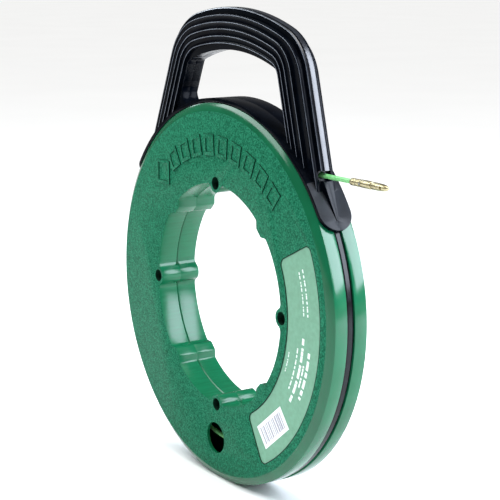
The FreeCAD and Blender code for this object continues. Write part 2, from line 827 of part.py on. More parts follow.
def handleScrew(number, x, z):
    """Small pan head screw that enters the handle from the rear."""
    body = turnedPin("handle_screw_%d" % (number + 1), [
        ("0", "sizes.grip_screw_seat + sizes.grip_screw_head_height"),
        ("sizes.grip_screw_head - 0.9", "sizes.grip_screw_seat + sizes.grip_screw_head_height"),
        ("sizes.grip_screw_head", "sizes.grip_screw_seat + sizes.grip_screw_head_height - 0.9"),
        ("sizes.grip_screw_head", "sizes.grip_screw_seat"),
        ("sizes.grip_screw_shank", "sizes.grip_screw_seat"),
        ("sizes.grip_screw_shank", "sizes.grip_screw_seat - sizes.grip_screw_reach"),
        ("0", "sizes.grip_screw_seat - sizes.grip_screw_reach"),
    ])
    cutCross(body, "1.7", "0.4", "1.3", "sizes.grip_screw_seat + sizes.grip_screw_head_height")
    body.Placement = Placement(Vector(x, 0, z), Rotation())


# ---------------------------------------------------------------- build and write

caseFront()
caseRear()
for number in range(QUARTERS):
    caseScrew(number)
    caseInsert(number)
labelPlate()
sticker()
tapeCoil()
tapeAnchor()
tapeEnd()
tapeGuide()
carrierRing()
handle = wholeHandle()
handleHalf("handle_front", FRONT, handle)
handleHalf("handle_rear", REAR, handle)
for number, (x, z) in enumerate(gripScrewPlaces()):
    handleScrew(number, x, z)
doc.recompute()

for item in doc.Objects:
    if "Invalid" in item.State or "Error" in item.State:
        raise ValueError("%s is in state %s" % (item.Name, item.State))
os.makedirs("parts", exist_ok=True)
for part in subparts:
    if part.Shape.isNull() or not part.Shape.isValid():
        raise ValueError(part.Label + " has no valid shape")
    part.Shape.exportStep("parts/%s.step" % part.Label)
    print("%-16s %10.1f mm3  %d solid(s)" % (part.Label, part.Shape.Volume, len(part.Shape.Solids)))
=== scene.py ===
import math
import bmesh
import bpy
from mathutils import Matrix, Vector


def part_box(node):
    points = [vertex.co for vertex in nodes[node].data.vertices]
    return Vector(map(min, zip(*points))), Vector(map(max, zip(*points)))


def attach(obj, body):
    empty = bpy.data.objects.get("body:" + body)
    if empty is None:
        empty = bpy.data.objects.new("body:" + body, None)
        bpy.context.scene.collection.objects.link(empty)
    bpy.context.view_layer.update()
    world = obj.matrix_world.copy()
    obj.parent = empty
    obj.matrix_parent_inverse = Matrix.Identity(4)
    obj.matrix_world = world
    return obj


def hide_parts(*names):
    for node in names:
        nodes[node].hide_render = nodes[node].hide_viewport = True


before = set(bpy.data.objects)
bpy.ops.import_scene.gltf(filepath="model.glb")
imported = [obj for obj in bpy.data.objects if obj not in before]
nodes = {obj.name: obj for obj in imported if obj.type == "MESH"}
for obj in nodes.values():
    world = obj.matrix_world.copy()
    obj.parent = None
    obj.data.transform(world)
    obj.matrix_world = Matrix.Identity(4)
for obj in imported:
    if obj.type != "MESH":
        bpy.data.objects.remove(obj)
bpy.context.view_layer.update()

mm = 0.001
print("frame loaded:", len(nodes), "CAD nodes")


def hexColour(text):
    parts = [int(text[i:i + 2], 16) / 255 for i in (1, 3, 5)]
    return (*[p / 12.92 if p <= 0.04045 else ((p + 0.055) / 1.055) ** 2.4 for p in parts], 1.0)


def addNode(tree, kind, settings=None, links=None):
    node = tree.nodes.new(kind)
    for key, value in (settings or {}).items():
        if isinstance(key, int) or key in node.inputs:
            node.inputs[key].default_value = value
        else:
            setattr(node, key, value)
    for key, source in (links or {}).items():
        tree.links.new(source, node.inputs[key])
    return node


def newMaterial(name, settings):
    material = bpy.data.materials.new(name)
    material.use_nodes = True
    shader = material.node_tree.nodes["Principled BSDF"]
    for key, value in settings.items():
        shader.inputs[key].default_value = value
    place = addNode(material.node_tree, "ShaderNodeTexCoord").outputs["Object"]
    return material, material.node_tree, shader, place


def finishSurface(tree, shader, pattern, colours, span, rough=None, roughSpan=(0, 1), relief=None):
    # colour and roughness run from their first value to their last as the pattern crosses the span;
    # relief is a height pattern with its depth and strength
    share = addNode(tree, "ShaderNodeMapRange", {"From Min": span[0], "From Max": span[1]},
                    {"Value": pattern})
    mix = addNode(tree, "ShaderNodeMix", {"data_type": "RGBA"}, {0: share.outputs[0]})
    mix.inputs[6].default_value = hexColour(colours[0])
    mix.inputs[7].default_value = hexColour(colours[1])
    tree.links.new(mix.outputs[2], shader.inputs["Base Color"])
    if rough:
        gloss = addNode(tree, "ShaderNodeMapRange", {
            "From Min": roughSpan[0], "From Max": roughSpan[1], "To Min": rough[0], "To Max": rough[1]},
            {"Value": pattern})
        tree.links.new(gloss.outputs[0], shader.inputs["Roughness"])
    if relief:
        height, depth, strength = relief
        bump = addNode(tree, "ShaderNodeBump", {"Strength": strength, "Distance": depth},
                       {"Height": height})
        tree.links.new(bump.outputs[0], shader.inputs["Normal"])


caseFinish = {"polished": ("#095838", "#0b603e"), "grained": ("#074731", "#2b8261"), "grainSize": 1.15 * mm}


def makePolishedCase():
    # ABS, injection moulded green, polished tool: rim, bevel and hub wall mirror the lamps
    material, tree, shader, place = newMaterial("polishedAbsGreen", {
        "IOR": 1.54, "Specular IOR Level": 0.36})
    # slow sink marks, which bend the reflections a little
    flow = addNode(tree, "ShaderNodeTexNoise", {"Scale": 1 / (26 * mm), "Detail": 1.0},
                   {"Vector": place}).outputs["Fac"]
    finishSurface(tree, shader, flow, caseFinish["polished"], (0.35, 0.65), (0.12, 0.17), (0.35, 0.65),
                  (flow, 0.4 * mm, 0.4))
    return material


def makeGrainedCase():
    # the same ABS off a spark-eroded tool: the flat faces scatter the light into a fine mottle
    material, tree, shader, place = newMaterial("grainedAbsGreen", {
        "IOR": 1.54, "Specular IOR Level": 0.03})
    # 0.3 mm grain, drawn coarser so that it shows
    grain = addNode(tree, "ShaderNodeTexNoise", {"Scale": 1 / caseFinish["grainSize"], "Detail": 4.0},
                    {"Vector": place}).outputs["Fac"]
    finishSurface(tree, shader, grain, caseFinish["grained"], (0.34, 0.66), (0.5, 0.38),
                  relief=(grain, 0.45 * mm, 0.7))
    return material


def makeBoreMaterial():
    # the same ABS where the hub core dragged on release: faint lines along the axis blur the mirror
    material, tree, shader, place = newMaterial("drawnAbsGreen", {"IOR": 1.54, "Specular IOR Level": 0.3})
    stretch = addNode(tree, "ShaderNodeMapping", {"Scale": (1.0, 0.08, 1.0)}, {"Vector": place}).outputs[0]
    # 0.2 mm draw lines, drawn coarser so that they show
    lines = addNode(tree, "ShaderNodeTexNoise", {"Scale": 1 / (2.4 * mm), "Detail": 3.0},
                    {"Vector": stretch}).outputs["Fac"]
    finishSurface(tree, shader, lines, caseFinish["polished"], (0.35, 0.65), (0.21, 0.26), (0.35, 0.65),
                  (lines, 0.06 * mm, 0.14))
    return material


def makePaintedShadeMaterial():
    # green ABS painted near black as painted shade: screw wells, the label's gap and the sides of the raised
    # frames
    material, tree, shader, place = newMaterial("paintedShadeAbsGreen", {"IOR": 1.54, "Specular IOR Level": 0.1})
    shadeMottle = addNode(tree, "ShaderNodeTexNoise", {"Scale": 1 / (1.5 * mm)}, {"Vector": place}).outputs["Fac"]
    finishSurface(tree, shader, shadeMottle, ("#021a12", "#052c1e"), (0.3, 0.7), (0.5, 0.65),
                  relief=(shadeMottle, 0.05 * mm, 0.3))
    return material


def makeHandleMaterial(name, dark, light, shine, blur):
    # ABS, moulded black in a polished tool: deep black with sharp, slightly rippled reflections;
    # lighter, shinier copies of it paint highlights on the crown, its edge, the ridge tops and the shoe pads
    material, tree, shader, place = newMaterial(name, {"IOR": 1.54, "Specular IOR Level": shine})
    ripple = addNode(tree, "ShaderNodeTexNoise", {"Scale": 1 / (14 * mm)}, {"Vector": place}).outputs["Fac"]
    finishSurface(tree, shader, ripple, (dark, light), (0.3, 0.7), (blur, blur + 0.09), (0.3, 0.7),
                  (ripple, 0.25 * mm, 0.3))
    return material


def makeRingMaterial():
    # acetal, moulded black: a low waxy sheen with fine circular marks where the case rubs on it
    material, tree, shader, place = newMaterial("mouldedAcetalBlack", {
        "IOR": 1.48, "Specular IOR Level": 0.22})
    axes = addNode(tree, "ShaderNodeSeparateXYZ", links={0: place}).outputs
    flat = addNode(tree, "ShaderNodeCombineXYZ", links={"X": axes["X"], "Z": axes["Z"]})
    radius = addNode(tree, "ShaderNodeVectorMath", {"operation": "LENGTH"}, {0: flat.outputs[0]})
    # 0.1 mm rub marks, drawn 0.9 mm apart
    turns = addNode(tree, "ShaderNodeMath", {"operation": "MULTIPLY", 1: 2 * math.pi / (0.9 * mm)},
                    {0: radius.outputs["Value"]})
    rings = addNode(tree, "ShaderNodeMath", {"operation": "SINE"}, {0: turns.outputs[0]}).outputs[0]
    worn = addNode(tree, "ShaderNodeTexNoise", {"Scale": 1 / (9 * mm)}, {"Vector": place}).outputs["Fac"]
    finishSurface(tree, shader, worn, ("#06080b", "#11151a"), (0.35, 0.7), (0.16, 0.26),
                  relief=(rings, 0.01 * mm, 0.2))
    return material


def makeFilmMaterial():
    # polyester label film, printed pale green: even satin with a trace of orange peel from the glue
    material, tree, shader, place = newMaterial("printedFilmGreen", {"IOR": 1.57, "Coat Weight": 0.15})
    peel = addNode(tree, "ShaderNodeTexNoise", {"Scale": 1 / (3.5 * mm)}, {"Vector": place}).outputs["Fac"]
    finishSurface(tree, shader, peel, ("#528f6f", "#5d9b7b"), (0.3, 0.7), (0.3, 0.38),
                  relief=(peel, 0.05 * mm, 0.35))
    return material


def makeInkMaterial(name, thin, full):
    # screen-printed ink: flat and dense, thinner here and there so that its edge looks printed
    material, tree, shader, place = newMaterial(name, {"IOR": 1.5})
    cover = addNode(tree, "ShaderNodeTexNoise", {"Scale": 1 / (1.1 * mm)}, {"Vector": place}).outputs["Fac"]
    finishSurface(tree, shader, cover, (thin, full), (0.3, 0.6), (0.42, 0.55),
                  relief=(cover, 0.01 * mm, 0.3))
    return material


def makePaperMaterial():
    # coated label paper: bright white, matt, with a faint cloud of fibres
    material, tree, shader, place = newMaterial("coatedPaperWhite", {"IOR": 1.5, "Roughness": 0.6})
    fibres = addNode(tree, "ShaderNodeTexNoise", {"Scale": 1 / (1.4 * mm), "Detail": 4.0},
                     {"Vector": place}).outputs["Fac"]
    finishSurface(tree, shader, fibres, ("#e9eaec", "#f8f8f8"), (0.35, 0.6),
                  relief=(fibres, 0.02 * mm, 0.4))
    return material


def makeTapeMaterial():
    # glass-fibre rod in a bright green nylon jacket: smooth, waxy, light carries into it a little
    material, tree, shader, place = newMaterial("nylonJacketGreen", {
        "IOR": 1.53, "Roughness": 0.3, "Subsurface Weight": 0.15, "Subsurface Scale": 1.2 * mm,
        "Subsurface Radius": (0.4, 1.0, 0.5)})
    streak = addNode(tree, "ShaderNodeTexNoise", {"Scale": 1 / (2.2 * mm)}, {"Vector": place}).outputs["Fac"]
    # 0.8 mm strands under the jacket, drawn at 1.6 mm; a band is 0.314 wide at scale 1
    wrap = addNode(tree, "ShaderNodeTexWave", {
        "bands_direction": "DIAGONAL", "Scale": 0.314 / (1.6 * mm), "Distortion": 0.4}, {"Vector": place})
    finishSurface(tree, shader, streak, ("#66bb6c", "#8bd08c"), (0.3, 0.7),
                  relief=(wrap.outputs["Fac"], 0.06 * mm, 0.4))
    return material


def makeMetal(name, dark, light, rough, markSize, squeeze):
    # squeeze stretches the marks round the part's own axis, which here runs along X or Y
    material, tree, shader, place = newMaterial(name, {"Metallic": 1.0})
    stretch = addNode(tree, "ShaderNodeMapping", {"Scale": squeeze}, {"Vector": place}).outputs[0]
    marks = addNode(tree, "ShaderNodeTexNoise", {"Scale": 1 / markSize, "Detail": 3.0},
                    {"Vector": stretch}).outputs["Fac"]
    patches = addNode(tree, "ShaderNodeTexNoise", {"Scale": 1 / (2.5 * mm)}, {"Vector": place}).outputs["Fac"]
    finishSurface(tree, shader, patches, (dark, light), (0.3, 0.7), (rough, rough + 0.14),
                  relief=(marks, 0.03 * mm, 0.5))
    return material


def makeNylonMaterial():
    # natural nylon, moulded dark: the bush that the tape runs through, polished inside by use
    material, tree, shader, place = newMaterial("mouldedNylonDark", {"IOR": 1.53})
    rub = addNode(tree, "ShaderNodeTexNoise", {"Scale": 1 / (1.8 * mm)}, {"Vector": place}).outputs["Fac"]
    finishSurface(tree, shader, rub, ("#0c0f12", "#1a1f22"), (0.3, 0.7), (0.25, 0.4),
                  relief=(rub, 0.04 * mm, 0.3))
    return material


materials = {
    "case": makePolishedCase(),
    "caseGrain": makeGrainedCase(),
    "caseBore": makeBoreMaterial(),
    # near-black copy of the case green: painted shade for the screw wells, the label's gap and the frames'
    # sides
    "casePaintedShade": makePaintedShadeMaterial(),
    "handle": makeHandleMaterial("mouldedAbsBlack", "#020409", "#060a11", 0.03, 0.15),
    # lighter, shinier copies of the handle black: painted highlights on the crown, the shoe pads (also
    # scuffed dull) and the ridge crests
    "handleCrown": makeHandleMaterial("paintedSheenCrownAbsBlack", "#0a0d14", "#12171f", 0.7, 0.27),
    "handlePad": makeHandleMaterial("scuffedPaintedSheenAbsBlack", "#0c0f14", "#161b21", 0.16, 0.36),
    "handleCrest": makeHandleMaterial("paintedHighlightAbsBlack", "#545a64", "#6e7580", 0.3, 0.2),
    "ring": makeRingMaterial(),
    "film": makeFilmMaterial(),
    "whiteInk": makeInkMaterial("screenInkWhite", "#d5e8dc", "#f4faf6"),
    "greyInk": makeInkMaterial("thermalInkGrey", "#b4b4bf", "#9494a2"),
    "paper": makePaperMaterial(),
    "tape": makeTapeMaterial(),
    # brass, turned and nickel flashed: pale gold with fine rings round the axis
    "tip": makeMetal("turnedBrassPale", "#9f946f", "#c4bb9a", 0.28, 0.5 * mm, (6.0, 1.0, 1.0)),
    # brass, knurled insert: darker and duller yellow
    "insert": makeMetal("knurledBrass", "#9a7c3c", "#b8974e", 0.3, 0.6 * mm, (1.0, 4.0, 1.0)),
    # steel, zinc plated: bluish grey with a slight haze
    "steel": makeMetal("zincPlatedSteel", "#8e949b", "#b9bec4", 0.28, 0.6 * mm, (1.0, 4.0, 1.0)),
    "nylon": makeNylonMaterial(),
}
print("materials ready:", len(materials))

keptNodes = {
    "ring": ["carrier_ring"],
    "film": ["label_plate"],
    "paper": ["sticker"],
    "nylon": ["tape_guide"],
    "steel": [f"case_screw_{n}" for n in range(1, 5)] + [f"handle_screw_{n}" for n in range(1, 5)]
             + ["anchor_screw", "tape_anchor", "tip_pin"],
    "insert": [f"case_insert_{n}" for n in range(1, 5)],
}
for finish, names in keptNodes.items():
    for name in names:
        nodes[name].data.materials.clear()
        nodes[name].data.materials.append(materials[finish])


weldGap = {"cad": 0.005 * mm, "own": 0.002 * mm}


def pickOnly(*pieces):
    bpy.ops.object.select_all(action="DESELECT")
    for piece in pieces:
        piece.select_set(True)
    bpy.context.view_layer.objects.active = pieces[0]


def openEdit(piece, mode="FACE"):
    pickOnly(piece)
    bpy.ops.object.mode_set(mode="EDIT")
    bpy.ops.mesh.select_mode(type=mode)


def closeEdit():
    bpy.ops.object.mode_set(mode="OBJECT")


def selectFaces(piece, wanted):
    # selects the faces whose middle and normal pass the test
    mesh = bmesh.from_edit_mesh(piece.data)
    for face in mesh.faces:
        face.select_set(bool(wanted(face.calc_center_median(), face.normal)))
    mesh.select_flush_mode()
    bmesh.update_edit_mesh(piece.data)


def applyModifier(piece, kind, settings):
    modifier = piece.modifiers.new(kind.lower(), kind)
    for key, value in settings.items():
        setattr(modifier, key, value)
    pickOnly(piece)
    bpy.ops.object.modifier_apply(modifier=modifier.name)


def smoothOver(piece, degrees):
    pickOnly(piece)
    bpy.ops.object.shade_smooth_by_angle(angle=math.radians(degrees))


def copyPiece(piece, name, turn):
    twin = piece.copy()
    twin.data = piece.data.copy()
    twin.name = name
    twin.data.transform(turn)
    bpy.context.collection.objects.link(twin)
    return twin


def joinPieces(pieces, name):
    pickOnly(*pieces)
    bpy.ops.object.join()
    pieces[0].name = name
    return pieces[0]


def fixPlace(piece):
    pickOnly(piece)
    bpy.ops.object.transform_apply(location=True, rotation=True, scale=True)


def turnOutwards(piece):
    openEdit(piece)
    bpy.ops.mesh.select_all(action="SELECT")
    bpy.ops.mesh.remove_doubles(threshold=weldGap["own"])
    bpy.ops.mesh.normals_make_consistent(inside=False)
    closeEdit()


def dressPiece(piece, finish, body, slot, *replaced):
    piece.data.materials.clear()
    piece.data.materials.append(materials[finish])
    for face in piece.data.polygons:
        face.material_index = 0
    if replaced:
        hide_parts(*replaced)
    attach(piece, body)


# moulded halves: the CAD shape with its edges rounded as the tool leaves them
roundedShells = [
    {"node": "case_front", "name": "case_front_shell", "finish": "case", "body": "reel",
     "slot": "case_green", "edge": 0.55, "angle": 32, "smooth": 30},
    {"node": "case_rear", "name": "case_rear_shell", "finish": "case", "body": "reel",
     "slot": "case_green", "edge": 0.55, "angle": 32, "smooth": 30},
    {"node": "handle_front", "name": "handle_front_shell", "finish": "handle", "body": "handle",
     "slot": "handle_black", "edge": 0.5, "angle": 38, "smooth": 34},
    {"node": "handle_rear", "name": "handle_rear_shell", "finish": "handle", "body": "handle",
     "slot": "handle_black", "edge": 0.5, "angle": 38, "smooth": 34},
]


def makeRoundedShell(plan):
    shell = bpy.data.objects.new(plan["name"], nodes[plan["node"]].data.copy())
    bpy.context.collection.objects.link(shell)
    openEdit(shell)
    bpy.ops.mesh.select_all(action="SELECT")
    bpy.ops.mesh.customdata_custom_splitnormals_clear()
    bpy.ops.mesh.remove_doubles(threshold=weldGap["cad"])
    bpy.ops.mesh.normals_make_consistent(inside=False)
    bpy.ops.mesh.dissolve_limited(angle_limit=math.radians(0.4))
    closeEdit()
    applyModifier(shell, "BEVEL", {
        "width": plan["edge"] * mm, "segments": 2, "limit_method": "ANGLE",
        "angle_limit": math.radians(plan["angle"]), "use_clamp_overlap": True, "harden_normals": False})
    smoothOver(shell, plan["smooth"])
    dressPiece(shell, plan["finish"], plan["body"], plan["slot"], plan["node"])
    if plan["finish"] == "case":
        dressCaseZones(shell)
    else:
        scuffAndLightenShoes(shell)
    print(plan["name"], "faces", len(shell.data.polygons))


# where the case's looks change, in mm: the grained flat, the hub wall and the wells of the case screws, which
# get painted shade
caseZones = {"flatLevel": 19.93, "flatRadius": 164.6, "hubRadius": 108, "wellRadius": 6.0}


def dressCaseZones(shell):
    # the grain covers the flat face inside the bevel; the hub wall has its own look and the screw wells get
    # painted shade
    for finish in ("caseGrain", "caseBore", "casePaintedShade"):
        shell.data.materials.append(materials[finish])
    boxes = [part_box(f"case_screw_{number}") for number in range(1, 5)]
    wells = [((low[0] + high[0]) / 2, (low[2] + high[2]) / 2) for low, high in boxes]
    for face in shell.data.polygons:
        middle, slope = face.center, abs(face.normal.y)
        out = math.hypot(middle.x, middle.z) / mm
        if abs(middle.y) > caseZones["flatLevel"] * mm and out < caseZones["flatRadius"] and slope > 0.99:
            face.material_index = 1
        elif out < caseZones["hubRadius"] and slope < 0.5:
            nearest = min(math.hypot(middle.x - x, middle.z - z) for x, z in wells)
            # faces round a screw get the near-black painted shade, the rest of the hub wall the drawn finish
            face.material_index = 3 if nearest < caseZones["wellRadius"] * mm else 2


shoePads = {"radius": 172.4, "top": 116, "outward": 0.6}


def scuffAndLightenShoes(shell):
    # the shoes' outer pads are scuffed dull, and painted lighter as a painted highlight
    shell.data.materials.append(materials["handlePad"])
    for face in shell.data.polygons:
        middle = face.center
        out = math.hypot(middle.x, middle.z)
        outward = (face.normal.x * middle.x + face.normal.z * middle.z) / out
        low = middle.z < shoePads["top"] * mm
        if low and out > shoePads["radius"] * mm and outward > shoePads["outward"]:
            face.material_index = 1


for plan in roundedShells:
    makeRoundedShell(plan)

# the grip: one smooth sweep over the arch for each half, with its crown, five ridges and the flutes between
gripPlan = {
    "left": (-132.5, 130.0, 23.4), "right": (136.8, 130.0, 14.9), "middle": (2.0, 12.2), "radius": 242.8,
    "leftRound": 60.8, "rightRound": 50.6, "shoe": 175.0, "mouthTop": 127.8,
    # inset over the top, inset down the right leg, distance from the seam
    "ridges": [(6.8, 5.6, 9.3), (12.8, 16.3, 10.9), (18.8, 23.4, 11.4), (24.8, 29.2, 11.6),
               (30.8, 34.0, 11.0)],
    "floors": [8.52, 10.12, 10.12, 10.12, 8.35],
    # shift across the ridge and change of level; none stands for the flute's floor
    "crest": [(-0.85, None), (-0.62, -0.3), (-0.3, 0.06), (0.0, 0.16), (0.3, 0.06), (0.62, -0.3),
              (0.85, None)],
    "crown": [(-0.12, 0.0), (-0.08, 1.6), (0.08, 2.9), (0.42, 4.0), (0.85, 4.75), (1.3, 5.12), (2.4, 5.14),
              (3.6, 5.2), (5.0, 5.25), (6.6, 5.3), (6.6, 0.0)],
    "inner": {"left": (-73.7, 180.0, 22.7), "right": (85.8, 180.0, 15.5), "middle": (8.0, 26.6),
              "radius": 192.0, "leftRound": 7.0, "rightRound": 12.0},
    # the ridged body starts under the crown and closes inside the grip: two insets and a level
    "start": (5.95, 4.75, 6.7), "startFloor": 8.3, "footRise": 0.18, "fluteShares": (0.35, 0.65),
    "innerLevel": 8.35, "close": (14.0, 16.0, 6.7),
    "steps": {"leg": 3, "round": 12, "top": 30}, "seatRadius": 3.45, "seatLevel": 7.35, "smooth": 52,
}


def legFoot(start, along, radius):
    # how far along the leg the line comes out of the shoe
    b = start[0] * along[0] + start[1] * along[1]
    c = start[0] ** 2 + start[1] ** 2 - radius ** 2
    return -b + math.sqrt(b * b - c)


def roundCentre(start, along, inward, size, middle, radius):
    # middle of the arc that joins a leg to the top arc, and its distance up the leg
    base = (start[0] + inward[0] * size - middle[0], start[1] + inward[1] * size - middle[1])
    b = base[0] * along[0] + base[1] * along[1]
    c = base[0] ** 2 + base[1] ** 2 - (radius - size) ** 2
    up = -b + math.sqrt(b * b - c)
    return (middle[0] + base[0] + along[0] * up, middle[1] + base[1] + along[1] * up), up


def arcPoints(middle, radius, first, last, count):
    angles = [first + (last - first) * step / count for step in range(count + 1)]
    return [(middle[0] + radius * math.cos(a), middle[1] + radius * math.sin(a)) for a in angles]


def archRail(shape, inset, rightInset, mouthEnd=False):
    # the line that one point of the section follows over the arch, from the left foot to the right one
    steps = gripPlan["steps"]
    leftLean, rightLean = math.radians(shape["left"][2]), math.radians(shape["right"][2])
    leftStart = (shape["left"][0] + inset / math.cos(leftLean), shape["left"][1])
    rightStart = (shape["right"][0] - rightInset / math.cos(rightLean), shape["right"][1])
    leftUp, leftIn = (math.sin(leftLean), math.cos(leftLean)), (math.cos(leftLean), -math.sin(leftLean))
    rightUp = (-math.sin(rightLean), math.cos(rightLean))
    rightIn = (-math.cos(rightLean), -math.sin(rightLean))
    middle, radius = shape["middle"], shape["radius"] - inset
    leftSize, rightSize = shape["leftRound"] - inset, shape["rightRound"] - max(inset, rightInset)
    leftC, leftT = roundCentre(leftStart, leftUp, leftIn, leftSize, middle, radius)
    rightC, rightT = roundCentre(rightStart, rightUp, rightIn, rightSize, middle, radius)
    leftA = math.atan2(leftC[1] - middle[1], leftC[0] - middle[0])
    rightA = math.atan2(rightC[1] - middle[1], rightC[0] - middle[0])
    leftFoot = legFoot(leftStart, leftUp, gripPlan["shoe"])
    rightFoot = legFoot(rightStart, rightUp, gripPlan["shoe"])
    if mouthEnd:
        rightFoot = (gripPlan["mouthTop"] - rightStart[1]) / rightUp[1]
    rail = []
    for step in range(steps["leg"]):
        t = leftFoot + (leftT - leftFoot) * step / steps["leg"]
        rail.append((leftStart[0] + leftUp[0] * t, leftStart[1] + leftUp[1] * t))
    rail += arcPoints(leftC, leftSize, math.pi - leftLean, leftA, steps["round"])
    rail += arcPoints(middle, radius, leftA, rightA, steps["top"])[1:]
    rail += arcPoints(rightC, rightSize, rightA, rightLean, steps["round"])[1:]
    for step in range(1, steps["leg"] + 1):
        t = rightT + (rightFoot - rightT) * step / steps["leg"]
        rail.append((rightStart[0] + rightUp[0] * t, rightStart[1] + rightUp[1] * t))
    return rail


def sweepSection(name, rails, depths, side):
    # skins a closed section along its rails and caps both ends
    mesh = bmesh.new()
    rows = [[mesh.verts.new((x * mm, side * depth * mm, z * mm)) for x, z in rail]
            for rail, depth in zip(rails, depths)]
    for near, far in zip(rows, rows[1:] + rows[:1]):
        for step in range(len(near) - 1):
            mesh.faces.new((near[step], near[step + 1], far[step + 1], far[step]))
    mesh.faces.new([row[0] for row in rows])
    mesh.faces.new([row[-1] for row in rows])
    bmesh.ops.recalc_face_normals(mesh, faces=mesh.faces)
    data = bpy.data.meshes.new(name)
    mesh.to_mesh(data)
    mesh.free()
    piece = bpy.data.objects.new(name, data)
    bpy.context.collection.objects.link(piece)
    return piece


def drillSeat(body, screw):
    low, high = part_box(screw)
    middle = ((low[0] + high[0]) / 2, (gripPlan["seatLevel"] + 10) * mm, (low[2] + high[2]) / 2)
    bpy.ops.object.select_all(action="DESELECT")
    bpy.ops.mesh.primitive_cylinder_add(vertices=32, radius=gripPlan["seatRadius"] * mm, depth=20 * mm,
                                        location=middle, rotation=(math.pi / 2, 0, 0))
    drill = bpy.context.object
    fixPlace(drill)
    applyModifier(body, "BOOLEAN", {"operation": "DIFFERENCE", "object": drill, "solver": "EXACT"})
    bpy.data.objects.remove(drill)


# the parts of the grip that get painted highlights: levels from the seam in mm, and slopes of the faces
gripHighlightPlan = {"crownLevel": 4.8, "edgeLevel": 5.05, "steep": 0.75, "flat": 0.9, "crestRise": 0.11, "reach": 0.09}


def paintGripHighlights(grip):
    # the crown, its edge and the tops of the ridges get lighter copies of the black as painted highlights
    grip.data.materials.append(materials["handleCrown"])
    grip.data.materials.append(materials["handleCrest"])
    tops = [depth + gripHighlightPlan["crestRise"] for inset, rightInset, depth in gripPlan["ridges"]]
    for face in grip.data.polygons:
        level, slope = abs(face.center.y) / mm, abs(face.normal.y)
        onEdge = gripHighlightPlan["crownLevel"] < level < gripHighlightPlan["edgeLevel"]
        onCrest = slope > gripHighlightPlan["flat"] and min(abs(level - top) for top in tops) < gripHighlightPlan["reach"]
        if level < gripHighlightPlan["crownLevel"] and slope < gripHighlightPlan["steep"]:
            face.material_index = 1
        if onEdge or onCrest:
            face.material_index = 2


def makeGripHalf(name, side, node):
    plan = gripPlan
    crownRails = [archRail(plan, inset, inset, True) for inset, depth in plan["crown"]]
    crown = sweepSection(name + "_crown", crownRails, [depth for inset, depth in plan["crown"]], side)
    rails, depths = [archRail(plan, *plan["start"][:2])], [plan["start"][2]]
    for index, (inset, rightInset, depth) in enumerate(plan["ridges"]):
        before = plan["floors"][index - 1] if index else plan["startFloor"]
        after = plan["floors"][index]
        for shift, drop in plan["crest"]:
            rails.append(archRail(plan, inset + shift, rightInset + shift))
            low = before if shift < 0 else after
            depths.append(low + plan["footRise"] if drop is None else depth + drop)
        if index + 1 < len(plan["ridges"]):
            following = plan["ridges"][index + 1]
            for share in plan["fluteShares"]:
                rails.append(archRail(plan, inset + (following[0] - inset) * share,
                                      rightInset + (following[1] - rightInset) * share))
                depths.append(after)
    inner = archRail(plan["inner"], 0, 0)
    rails += [inner, inner, archRail(plan, *plan["close"][:2])]
    depths += [plan["innerLevel"], 0.0, plan["close"][2]]
    body = sweepSection(name + "_ridges", rails, depths, side)
    if side > 0:  # the screws go in from the rear
        for number in range(1, 5):
            drillSeat(body, f"handle_screw_{number}")
    grip = joinPieces([crown, body], name)
    smoothOver(grip, plan["smooth"])
    dressPiece(grip, "handle", "handle", "handle_black", node)
    paintGripHighlights(grip)
    print(name, "faces", len(grip.data.polygons))


makeGripHalf("handle_front_grip", -1, "handle_front")
makeGripHalf("handle_rear_grip", 1, "handle_rear")


# raised ornament on the front face: a row of plain open frames and one plain square
reliefPlan = {"face": -19.9, "proud": 1.15, "sunk": 0.95, "edge": 0.25, "smooth": 30,
              "radius": 135.2, "frameSize": (16.2, 18.8), "frameWall": 3.3,
              "angles": [49 + 9 * step for step in range(9)],
              "squareSize": (22.0, 22.0), "squareAngle": 131.3, "squareRadius": 135.0, "squareWall": 2.8}


def makeFrame(name, size, wall, radius):
    plan = reliefPlan
    bpy.ops.object.select_all(action="DESELECT")
    bpy.ops.mesh.primitive_plane_add(size=1, location=(0, plan["face"] * mm, radius * mm),
                                     rotation=(math.pi / 2, 0, 0))
    block = bpy.context.object
    block.name = name
    block.scale = (size[0] * mm, size[1] * mm, 1)
    fixPlace(block)
    openEdit(block)
    bpy.ops.mesh.select_all(action="SELECT")
    bpy.ops.mesh.extrude_region_move(TRANSFORM_OT_translate={"value": (0, -plan["proud"] * mm, 0)})
    bpy.ops.mesh.inset(thickness=wall * mm, depth=0)
    bpy.ops.mesh.extrude_region_move(TRANSFORM_OT_translate={"value": (0, plan["sunk"] * mm, 0)})
    bpy.ops.mesh.select_all(action="SELECT")
    bpy.ops.mesh.normals_make_consistent(inside=False)
    closeEdit()
    applyModifier(block, "BEVEL", {"width": plan["edge"] * mm, "segments": 2, "limit_method": "ANGLE",
                                   "angle_limit": math.radians(40)})
    return block


